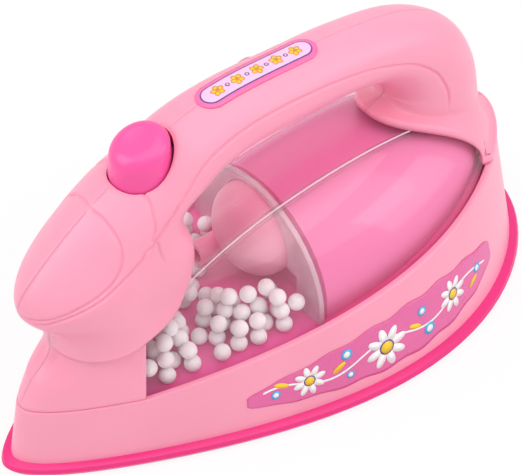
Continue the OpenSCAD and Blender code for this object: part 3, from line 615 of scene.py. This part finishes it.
def spread(points, count):
    # places, from 0 to the last point, that cut a line of points into equal lengths
    run = runOf(points)
    places, k = [], 0
    for i in range(count + 1):
        goal = run[-1] * i / count
        while k < len(run) - 2 and run[k + 1] < goal:
            k += 1
        places.append(k + (goal - run[k]) / max(1e-9, run[k + 1] - run[k]))
    return places


def evenRings():
    # stations along the handle and down its foot, each with the turns of evenly spaced points
    rows, cols, turnRows = arch["fineRows"], arch["fineCols"], foot["turnRows"]
    fine = [archLast * i / rows for i in range(rows + 1)]
    mids = [archPoint(station, math.pi / 2) + archPoint(station, 0) for station in fine]
    stations = [archLast * p / rows for p in spread(mids, arch["rows"])]
    stations += [archLast + (i + 1) / arch["footRows"] for i in range(arch["footRows"])]
    stations += [archLast + 1 + foot["turned"] * (i + 1) / turnRows for i in range(turnRows)] + [archLast + 2]
    rings = []
    for station in stations:
        spot = min(station, archLast + 1)
        ring = [skinPoint(spot, math.pi * j / cols) for j in range(cols + 1)]
        rings.append((station, [math.pi * p / cols for p in spread(ring, arch["cols"])]))
    return rings


def creaseTree():
    # points of every crease, with half width and depth, and a tree to find the nearest
    lines, steps = [], creaseForm["steps"]
    for points, half, deep in creases.values():
        last = (len(points) - 1) * steps
        for i in range(last + 1):
            station, angle = curveAt(points, i / steps)
            fade = min(1, creaseForm["ends"] + min(i, last - i) / steps)
            lines.append((handlePoint(station, math.radians(max(0, angle))) * mm, half * mm, deep * fade * mm))
    tree = kdtree.KDTree(len(lines))
    for i, line in enumerate(lines):
        tree.insert(line[0], i)
    tree.balance()
    return tree, lines


def skinNormal(station, turn):
    # outward direction of the handle's skin, from its slopes along and across
    step, swing = probe["station"], probe["turn"]
    ahead = skinPoint(station + step, turn) - skinPoint(max(0, station - step), turn)
    over = skinPoint(station, min(math.pi, turn + swing)) - skinPoint(station, max(0, turn - swing))
    normal = ahead.cross(over).normalized()
    spot = min(station, archLast)
    out = skinPoint(spot, turn) - (archPoint(spot, 0) + archPoint(spot, math.pi)) / 2
    return normal if normal.dot(out) > 0 else -normal


def faceLeft(bm):
    # an open left half faces out, away from the middle plane
    bmesh.ops.recalc_face_normals(bm, faces=bm.faces)
    if sum(f.normal.y * f.calc_area() for f in bm.faces) > 0:
        bmesh.ops.reverse_faces(bm, faces=bm.faces)
    bm.normal_update()


def buildHandle():
    rings = evenRings()
    bm = bmesh.new()
    bmesh.ops.create_grid(bm, x_segments=len(rings) - 1, y_segments=arch["cols"], size=0.5)
    along = bm.verts.layers.float.new("along")
    turned = bm.verts.layers.float.new("turned")
    for vert in bm.verts:
        vert[along], angles = rings[round((vert.co.x + 0.5) * (len(rings) - 1))]
        vert[turned] = angles[round((vert.co.y + 0.5) * arch["cols"])]
        vert.co = skinPoint(vert[along], vert[turned]) * mm
    tree, lines = creaseTree()
    holes = [buttonHole] + screwHoles
    # finer faces near the creases and the rims of the holes
    for reach in arch["finer"]:
        close = {v for v in bm.verts if tree.find(v.co)[2] < reach * mm
                 or min(abs(holeGap(v.co, hole)) for hole in holes) < reach * mm}
        edges = [e for e in bm.edges if e.verts[0] in close and e.verts[1] in close]
        bmesh.ops.subdivide_edges(bm, edges=edges, cuts=1, use_grid_fill=True)
        for vert in bm.verts:
            vert.co = skinPoint(vert[along], vert[turned]) * mm
    faceLeft(bm)
    for vert in bm.verts:
        i, gap = tree.find(vert.co)[1:]
        half, deep = lines[i][1:]
        sink = deep * math.exp(-creaseForm["fall"] * (gap / half) ** 2) if gap < half * 2 else 0
        gap, wide = abs(holeGap(vert.co, buttonHole)), button["dipWide"] * mm
        if gap < wide:
            sink += button["dip"] * mm * (1 - gap / wide) ** 2
        if sink:
            vert.co = vert.co - skinNormal(vert[along], vert[turned]) * sink
        if abs(vert.co.y) < seam["near"] * mm:
            vert.co.y = -seam["gap"] * mm
    return bm


# nose pillar from the skirt's top to the head; flareFrom, flareOver and grooveOver are shares of its height
pillar = {"topFront": -0.765, "topBack": -0.57, "topWide": 0.8, "top": 0.455, "power": 0.6, "gap": 0.2,
          "flare": 0.1, "flareFrom": 0.8, "flareOver": 0.2, "groove": 0.45, "grooveOver": 0.06,
          "tuck": 0.9, "tuckFrom": 9, "tuckOver": 0.12, "grid": 48, "ring": 180}


def headRing():
    # the head's lower edge, as direction, distance and height round the middle of the neck
    ring = [archPoint(0, math.pi * i / pillar["ring"]) for i in range(pillar["ring"] + 1)]
    mid = (ring[0] + ring[-1]) / 2
    return mid, [(math.atan2(-p.y, mid.x - p.x), math.hypot(p.y, p.x - mid.x), p.z) for p in ring]


def buildPillar(bm):
    inset = skinInset(iron["skirtHigh"])
    low, top = iron["skirtHigh"] + pillar["gap"], iron["handleHigh"] * pillar["top"]
    halfHead = iron["headWide"] / 2
    mid, ring = headRing()

    def place(s, g):
        flare = smoothStep((g - pillar["flareFrom"]) / pillar["flareOver"]) * halfHead * pillar["flare"]
        sink = inset + pillar["groove"] * (1 - smoothStep(g / pillar["grooveOver"]))
        lowFront = -(halfLong - sink)
        lowX = lowFront + (windowX - lowFront) * s * s
        topFront = halfLong * pillar["topFront"] - flare
        topX = topFront + (halfLong * pillar["topBack"] - topFront) * s * s
        lowY, topY = halfWide(lowX, sink), (halfHead * pillar["topWide"] + flare) * s ** pillar["power"]
        x, y, z = lowX + (topX - lowX) * g, lowY + (topY - lowY) * g, low + (top - low) * g
        # tucked in under the head's lower edge
        way, far = math.atan2(y, mid.x - x), math.hypot(y, x - mid.x)
        near = min(ring, key=lambda r: abs(r[0] - way))
        reach = near[1] - pillar["tuck"] * smoothStep(s / pillar["tuckOver"])
        if far > reach:
            share = smoothStep((z - near[2]) / pillar["tuckFrom"] + 1)
            far += (reach - far) * share
        return mid.x - far * math.cos(way), -max(seam["near"], far * math.sin(way)), z
    sheet = sheetOf(pillar["grid"], pillar["grid"], place)
    faceLeft(sheet)
    joinInto(bm, sheet)


def addBosses(bm):
    # tubes behind the screw recesses, down to the seats of the screw heads
    long = screws["bossLong"]
    for matrix, radius in (hole[:2] for hole in screwHoles):
        place = matrix @ Matrix.Translation((0, 0, (screws["seat"] + long / 2) * mm))
        tube = bmesh.ops.create_cone(bm, segments=tubeSides, radius1=radius, radius2=radius, depth=long * mm,
                                     cap_ends=False, matrix=place)["verts"]
        for face in {f for v in tube for f in v.link_faces}:
            if face.normal.dot(face.calc_center_median() - matrix.translation) > 0:
                face.normal_flip()


def buildHalves():
    bm = buildHandle()
    rim = openHole(bm, buttonHole)
    # upright collar inside the button's hole
    edges = [e for e in bm.edges if e.is_boundary and e.verts[0] in rim and e.verts[1] in rim]
    collar = bmesh.ops.extrude_edge_only(bm, edges=edges)["geom"]
    lower = [v for v in collar if isinstance(v, bmesh.types.BMVert)]
    bmesh.ops.translate(bm, vec=(0, 0, -button["collar"] * mm), verts=lower)
    for name, node, right in (("handleLeft", "handle_left", False), ("handleRight", "handle_right", True)):
        half = bm.copy()
        buildPillar(half)
        if right:
            for hole in screwHoles:
                openHole(half, hole)
            addBosses(half)
            mirrored(half)
        piece = finish(half, name, "main_body", [shellPink], [node], sharp=60, merge=0, recalc=False)
        thicken(piece, iron["wall"])
    bm.free()


buildHalves()
print("handle halves made")


# push button, upright in the sloping head, with a sloping flange below the wall
def buildButton():
    r, high, edge = button["radius"], button["high"], button["round"]
    base = -r / 2
    topR = r - (high - edge - base) * math.tan(math.radians(button["draft"]))
    profile = [(0, -2 * r), (r, -2 * r), (r, base)]
    for i in range(button["roundSteps"] + 1):
        a = math.pi / 2 * i / button["roundSteps"]
        profile.append((topR - edge + edge * math.cos(a), high - edge + edge * math.sin(a)))
    flat = topR - edge
    profile += [(flat * share, high - button["dish"] * deep) for share, deep in button["dishAt"]]
    slope = Matrix.Rotation(math.radians(-button["slope"]), 4, "Y")
    seats = -button["seat"], -button["seat"] - button["flangeThick"]
    bm = bmesh.new()
    verts = [bm.verts.new((x * mm, 0, z * mm)) for x, z in profile]
    edges = [bm.edges.new(pair) for pair in zip(verts, verts[1:])]
    bmesh.ops.spin(bm, geom=verts + edges, axis=(0, 0, 1), cent=(0, 0, 0), steps=button["sides"],
                   angle=2 * math.pi, use_merge=True)
    bmesh.ops.remove_doubles(bm, verts=bm.verts, dist=joinNear["turned"])
    lean = Matrix.Identity(4)  # the top leans a little with the head
    lean[2][0] = math.tan(math.radians(button["lean"]))
    bmesh.ops.transform(bm, matrix=lean, verts=[v for v in bm.verts if v.co.z > 0])
    up = slope @ Vector((0, 0, 1))
    cutLevel(bm, seats[1], up, True)
    rim = (r + button["flange"]) * mm
    flange = bmesh.new()
    bmesh.ops.create_cone(flange, segments=button["sides"], radius1=rim, radius2=rim, depth=4 * r * mm, cap_ends=True)
    cutLevel(flange, seats[1], up, True)
    cutLevel(flange, seats[0], up, False)
    joinInto(bm, flange)
    tall, bossR = -button["bossLow"] - button["seat"], button["bossWide"] / 2 * mm
    place = Matrix.Translation(Vector((button["bossBack"], 0, button["bossLow"] + tall / 2)) * mm)
    bmesh.ops.create_cone(bm, segments=tubeSides, radius1=bossR, radius2=bossR, depth=tall * mm, cap_ends=True,
                          matrix=place)
    bmesh.ops.translate(bm, vec=buttonAt, verts=bm.verts)
    finish(bm, "pushButton", "button_body", [buttonPink], ["button"], sharp=45)


buildButton()
print("button made")

# flat print, drawn in millimetres on a plane, then laid on the iron: shares of a flower's size, and lifts
daisy = {"petalAt": 0.62, "petal": (0.4, 0.2), "petalSides": 20, "twist": 0.25, "rim": 0.36, "eye": 0.29,
         "petalLift": 0.004, "rimLift": 0.05, "eyeLift": 0.09, "ringInner": 0.58, "ringLift": 0.04}


def addDisc(bm, at, wide, high, turn, lift, mat, sides=24):
    matrix = Matrix.Translation((at[0], at[1], lift)) @ Matrix.Rotation(turn, 4, "Z")
    matrix @= Matrix.Diagonal((wide, high, 1, 1))
    verts = bmesh.ops.create_circle(bm, cap_ends=True, segments=sides, radius=1, matrix=matrix)["verts"]
    for face in {f for v in verts for f in v.link_faces}:
        face.material_index = mat


def addDaisy(bm, at, size, petals, lift, petalMat, eyeMat, rimMat):
    out, (long, wide) = daisy["petalAt"] * size, daisy["petal"]
    for i in range(petals):
        turn = 2 * math.pi * (i + daisy["twist"]) / petals
        middle = at[0] + out * math.cos(turn), at[1] + out * math.sin(turn)
        raised = lift + daisy["petalLift"] * i
        addDisc(bm, middle, long * size, wide * size, turn, raised, petalMat, daisy["petalSides"])
    for part, mat in (("rim", rimMat), ("eye", eyeMat)):
        addDisc(bm, at, daisy[part] * size, daisy[part] * size, 0, lift + daisy[part + "Lift"], mat)


def addRing(bm, at, size, lift, outerMat, innerMat):
    addDisc(bm, at, size, size, 0, lift, outerMat)
    inner = size * daisy["ringInner"]
    addDisc(bm, at, inner, inner, 0, lift + daisy["ringLift"], innerMat)


def layDown(bm, place):
    for vert in bm.verts:
        vert.co = Vector(place(*vert.co)) * mm


# side stickers: die-cut film with daisies, rings and a wavy stem
sticker = {"angles": (68, 131), "steps": 200, "middle": 0.41, "span": 0.62, "tip": 0.2, "power": 0.6,
           "grid": (160, 14), "lift": 0.25, "thick": 0.15, "printLift": 0.1, "printThick": 0.06,
           "wave": 0.05, "waves": 7, "waveShift": 0.03,
           "daisies": [(0.2, 0.4, 4.6), (0.47, -0.6, 6.4), (0.76, 0.7, 5.2)], "petals": 8,
           "rings": [(0.09, -0.3, 1.3), (0.33, 3.6, 1.7), (0.335, -3.4, 1.2), (0.62, 3.4, 1.5), (0.64, -3.8, 1.9),
                     (0.9, 0.2, 1.5)],
           "leaves": [(0.3, 0.5, 0.5), (0.585, 0.2, -0.5), (0.87, -2.4, 0.4), (0.11, 2.2, -0.4)], "leaf": (2.2, 0.8),
           "stem": 2.0, "stemWide": 0.32, "stemFrom": 0.05, "stemLong": 0.9, "stemBends": 17, "stemCols": 140,
           "stemDrop": 0.03}


def buildStickers():
    start, end = (math.radians(a) for a in sticker["angles"])
    steps = sticker["steps"]
    line = [skirtAt(start + (end - start) * i / steps, sticker["middle"], 0) for i in range(steps + 1)]
    long = runOf(line)[-1]
    evenly = spread(line, steps)

    def onSkirt(s, t, lift):
        at = min(steps, max(0, s / long * steps))
        k = min(steps - 1, int(at))
        angle = start + (end - start) * (evenly[k] + (evenly[k + 1] - evenly[k]) * (at - k)) / steps
        tall = (skirtAt(angle, 1, 0) - skirtAt(angle, 0, 0)).length
        return skirtAt(angle, sticker["middle"] + t / tall, -lift)

    def film(u, v):
        swell = sticker["tip"] + (1 - sticker["tip"]) * math.sin(math.pi * u) ** sticker["power"]
        wave = math.cos(2 * math.pi * sticker["waves"] * (u + sticker["waveShift"] * (v > 0.5)))
        swell *= 1 - sticker["wave"] + sticker["wave"] * wave
        f = sticker["middle"] + sticker["span"] * swell * (v - 0.5)
        return skirtAt(start + (end - start) * u, f, -sticker["lift"])
    sheet = sheetOf(*sticker["grid"], film)
    printed = bmesh.new()
    white, yellow, blue, purple = range(4)  # order of the print's materials
    lift = sticker["lift"] + sticker["printLift"]

    def stem(u, v):
        # over mm, as the print stays in millimetres until it is laid down
        s = sticker["stemFrom"] + sticker["stemLong"] * u
        wave = sticker["stem"] * math.sin(s * sticker["stemBends"])
        return s * long / mm, (wave + sticker["stemWide"] * (2 * v - 1)) / mm, (lift - sticker["stemDrop"]) / mm
    addSheet(printed, sticker["stemCols"], 1, stem, white)
    for share, t, size in sticker["daisies"]:
        addDaisy(printed, (share * long, t), size, sticker["petals"], lift, white, yellow, purple)
    for share, t, size in sticker["rings"]:
        addRing(printed, (share * long, t), size, lift, blue, white)
    for share, t, turn in sticker["leaves"]:
        addDisc(printed, (share * long, t), *sticker["leaf"], turn, lift, yellow)
    layDown(printed, onSkirt)
    for side, node, right in (("Left", "side_sticker_left", False), ("Right", "side_sticker_right", True)):
        for bm, name, mats, replaced in ((sheet, "film", [filmPink], [node]),
                                         (printed, "print", [printWhite, printYellow, printBlue, printPurple], ())):
            copy = bm.copy()
            for face in copy.faces:
                if face.normal.y > 0:
                    face.normal_flip()
            if right:
                mirrored(copy)
            piece = finish(copy, name + side, "main_body", mats, replaced, sharp=60, merge=0, recalc=False)
            thicken(piece, sticker["thick"] if replaced else sticker["printThick"])
    sheet.free()
    printed.free()


buildStickers()
print("stickers made")

# handle badge: rounded plate on the handle's top with a purple line, a pale field and a row of blossoms
# petals and heart of a blossom in shares of its size
badge = {"station": 8.5, "reach": 1.5, "steps": 300, "grid": (72, 12), "long": 35, "wide": 8.4, "thick": 0.3,
         "border": 1.25, "line": 0.35, "lift": 0.3, "lineLift": 0.05, "fieldLift": 0.09,
         "blossoms": 5, "pitch": 5.8, "size": 1.75, "petals": 5, "twist": 0.25, "twistStep": 0.3, "petalAt": 0.55,
         "outer": (0.5, 0.4), "inner": (0.36, 0.28), "heart": 0.3, "sides": 20,
         "outerLift": 0.13, "innerLift": 0.17, "heartLift": 0.21, "dot": 0.6}


def buildBadge():
    low, high = badge["station"] - badge["reach"], badge["station"] + badge["reach"]
    steps, lift = badge["steps"], badge["lift"]
    run = runOf([archPoint(low + (high - low) * i / steps, 0) for i in range(steps + 1)])
    middle = run[steps // 2]

    def onHandle(s, t, raised):
        k = max(i for i in range(steps) if run[i] <= middle + s)
        station = low + (high - low) * (k + (middle + s - run[k]) / (run[k + 1] - run[k])) / steps
        shape = curveAt(arch["stations"], station)
        p = archPoint(station, math.asin(min(1, abs(t) / halfHandle(shape[4])) ** (1 / shape[5])))
        return p.x, t, p.z + raised

    def field(inset, raised):
        half, wide = badge["long"] / 2 - inset, badge["wide"] / 2 - inset

        def place(u, v):
            x = -half * math.cos(math.pi * u)
            over = max(0, abs(x) - half + wide)
            return Vector(onHandle(x, math.sqrt(max(0, wide * wide - over * over)) * (2 * v - 1), raised))
        return place
    bm = bmesh.new()
    pink, purple, pale, yellow, orange = range(5)  # order of the badge's materials
    border, line = badge["border"], badge["line"]
    layers = (pink, 0, 0), (purple, border, badge["lineLift"]), (pale, border + line, badge["fieldLift"])
    for mat, inset, raised in layers:
        addSheet(bm, *badge["grid"], field(inset, lift + raised), mat)
    flat = bmesh.new()
    size, pitch, petals, sides = badge["size"], badge["pitch"], badge["petals"], badge["sides"]
    out, heart = badge["petalAt"] * size, badge["heart"] * size
    for i in range(badge["blossoms"]):
        at = (i - (badge["blossoms"] - 1) / 2) * pitch
        for petal in range(petals):
            turn = 2 * math.pi * (petal + badge["twist"] + badge["twistStep"] * i) / petals
            spot = at + out * math.cos(turn), out * math.sin(turn)
            for part, mat in (("outer", orange), ("inner", yellow)):
                long, wide = (share * size for share in badge[part])
                addDisc(flat, spot, long, wide, turn, lift + badge[part + "Lift"], mat, sides)
        addDisc(flat, (at, 0), heart, heart, 0, lift + badge["heartLift"], orange, sides)
        if i:
            addRing(flat, (at - pitch / 2, 0), badge["dot"], lift + badge["outerLift"], purple, pale)
    layDown(flat, onHandle)
    joinInto(bm, flat)
    for face in bm.faces:
        if face.normal.z < 0:
            face.normal_flip()
    mats = [badgePink, printPurple, badgePale, printYellow, printOrange]
    piece = finish(bm, "badge", "main_body", mats, ["handle_badge"], sharp=60, merge=joinNear["print"],
                   recalc=False)
    thicken(piece, badge["thick"])


buildBadge()
print("badge made")

# clear partition with softened (bevelled) edges, made brighter by a denser whitish haze: a painted highlight
partition = {"flat": 1, "edge": 60, "bevel": 0.3, "bevelRows": 2, "faceOn": 0.98}


def buildPartition():
    bm = joinedCopy("clear_partition")
    bmesh.ops.dissolve_limit(bm, angle_limit=math.radians(partition["flat"]), verts=bm.verts, edges=bm.edges)
    edges = [e for e in bm.edges if e.calc_face_angle(0) > math.radians(partition["edge"])]
    bmesh.ops.bevel(bm, geom=edges, offset=partition["bevel"] * mm, offset_type="OFFSET",
                    segments=partition["bevelRows"], profile=0.5, affect="EDGES", material=-1)
    bm.normal_update()
    # faces not turned along x are the edges, which take the painted highlight
    for face in bm.faces:
        face.material_index = 0 if abs(face.normal.x) > partition["faceOn"] else 1
    finish(bm, "partition", "main_body", [clearPanel, clearRimPaintedHighlight], ["clear_partition"], sharp=40)


buildPartition()
print("partition made")

# nodes whose shape stands, joined and smoothed: material, slot and the angle of a sharp edge
kept = {"soleplate": (solePink, "sole_pink", 35), "deck_tray": (deckPink, "deep_pink", 35),
        "inner_cover": (coverPink, "deep_pink", 35), "blower_housing": (blowerPink, "blower_pink", 40),
        "foam_balls": (foamWhite, "foam", 80)}
for node, (mat, slot, sharp) in kept.items():
    finish(joinedCopy(node), node + "Smooth", "main_body", [mat], [node], sharp, merge=0, recalc=False)
# nodes that only take a material
finishes = {"motor_bracket": coverPink, "impeller": fanWhite, "motor_shaft": brightSteel, "motor": motorCan,
            "switch_plunger": darkPlastic, "switch": darkPlastic, "battery_box": darkPlastic,
            "batteries": cellSleeve, "contact_springs": brightSteel, "contact_plates": brightSteel,
            "battery_door": solePink, "door_screw": brightSteel, "wire_motor": leadRed, "wire_switch": leadDark,
            "sole_screws": brightSteel, "handle_screws": brightSteel}
for node, mat in finishes.items():
    data = nodes[node].data
    data.materials.clear()
    data.materials.append(mat)
print("nodes finished")

# stage: pale floor, white to the camera, and soft studio light
stageSet = {"floor": 3.0, "floorCells": 8, "floorDrop": 0.0002, "floorShade": 0.9, "floorRough": 0.9,
            "floorSheen": 0.1, "floorGlow": 0.85, "sky": 0.5, "lampAim": (0, 0, 0.04)}
# each: place, size and power
lamps = {
    "top": ((-0.1, -0.1, 1.1), 1.3, 6.2),
    "left": ((-0.75, 0.4, 0.65), 0.6, 2.9),
    "right": ((0.8, -0.8, 0.58), 0.8, 2.8),
    "front": ((0.3, -0.7, 0.9), 0.9, 2.3),
}


def seenDirectly(tree):
    # 1 for what the camera sees itself, in a gloss or through a clear wall
    path = tree.nodes.new("ShaderNodeLightPath")
    seen = path.outputs["Is Camera Ray"]
    for ray in ("Is Glossy Ray", "Is Transmission Ray"):
        both = tree.nodes.new("ShaderNodeMath")
        both.operation = "MAXIMUM"
        tree.links.new(seen, both.inputs[0])
        tree.links.new(path.outputs[ray], both.inputs[1])
        seen = both.outputs["Value"]
    return seen


def addFloor():
    bm = bmesh.new()
    cells = stageSet["floorCells"]
    bmesh.ops.create_grid(bm, x_segments=cells, y_segments=cells, size=stageSet["floor"])
    mesh = bpy.data.meshes.new("floor")
    bm.to_mesh(mesh)
    bm.free()
    floor = bpy.data.objects.new("floor", mesh)
    bpy.context.scene.collection.objects.link(floor)
    floor.location.z = -stageSet["floorDrop"]
    mat, tree, shader = shaderOf("paleFloor")
    shader.inputs["Base Color"].default_value = (stageSet["floorShade"],) * 3 + (1,)
    shader.inputs["Roughness"].default_value = stageSet["floorRough"]
    shader.inputs["Specular IOR Level"].default_value = stageSet["floorSheen"]
    white = tree.nodes.new("ShaderNodeEmission")
    mix = tree.nodes.new("ShaderNodeMixShader")
    tree.links.new(addRange(tree, seenDirectly(tree), 0, stageSet["floorGlow"], 0, 1), mix.inputs["Fac"])
    tree.links.new(shader.outputs["BSDF"], mix.inputs[1])
    tree.links.new(white.outputs["Emission"], mix.inputs[2])
    tree.links.new(mix.outputs["Shader"], tree.nodes["Material Output"].inputs["Surface"])
    mesh.materials.append(mat)


def addWorld():
    world = bpy.data.worlds.new("studio")
    bpy.context.scene.world = world
    world.use_nodes = True
    tree = world.node_tree
    sky = tree.nodes["Background"]
    sky.inputs["Color"].default_value = (1, 1, 1, 1)
    tree.links.new(addRange(tree, seenDirectly(tree), stageSet["sky"], 1, 0, 1), sky.inputs["Strength"])


def addLamps():
    for name, (at, size, power) in lamps.items():
        data = bpy.data.lights.new(name, "AREA")
        data.size = size
        data.energy = power
        lamp = bpy.data.objects.new(name, data)
        bpy.context.scene.collection.objects.link(lamp)
        lamp.location = at
        lamp.rotation_euler = (Vector(stageSet["lampAim"]) - Vector(at)).to_track_quat("-Z", "Y").to_euler()


addFloor()
addWorld()
addLamps()
bpy.context.scene.view_settings.view_transform = "Standard"
print("stage set")
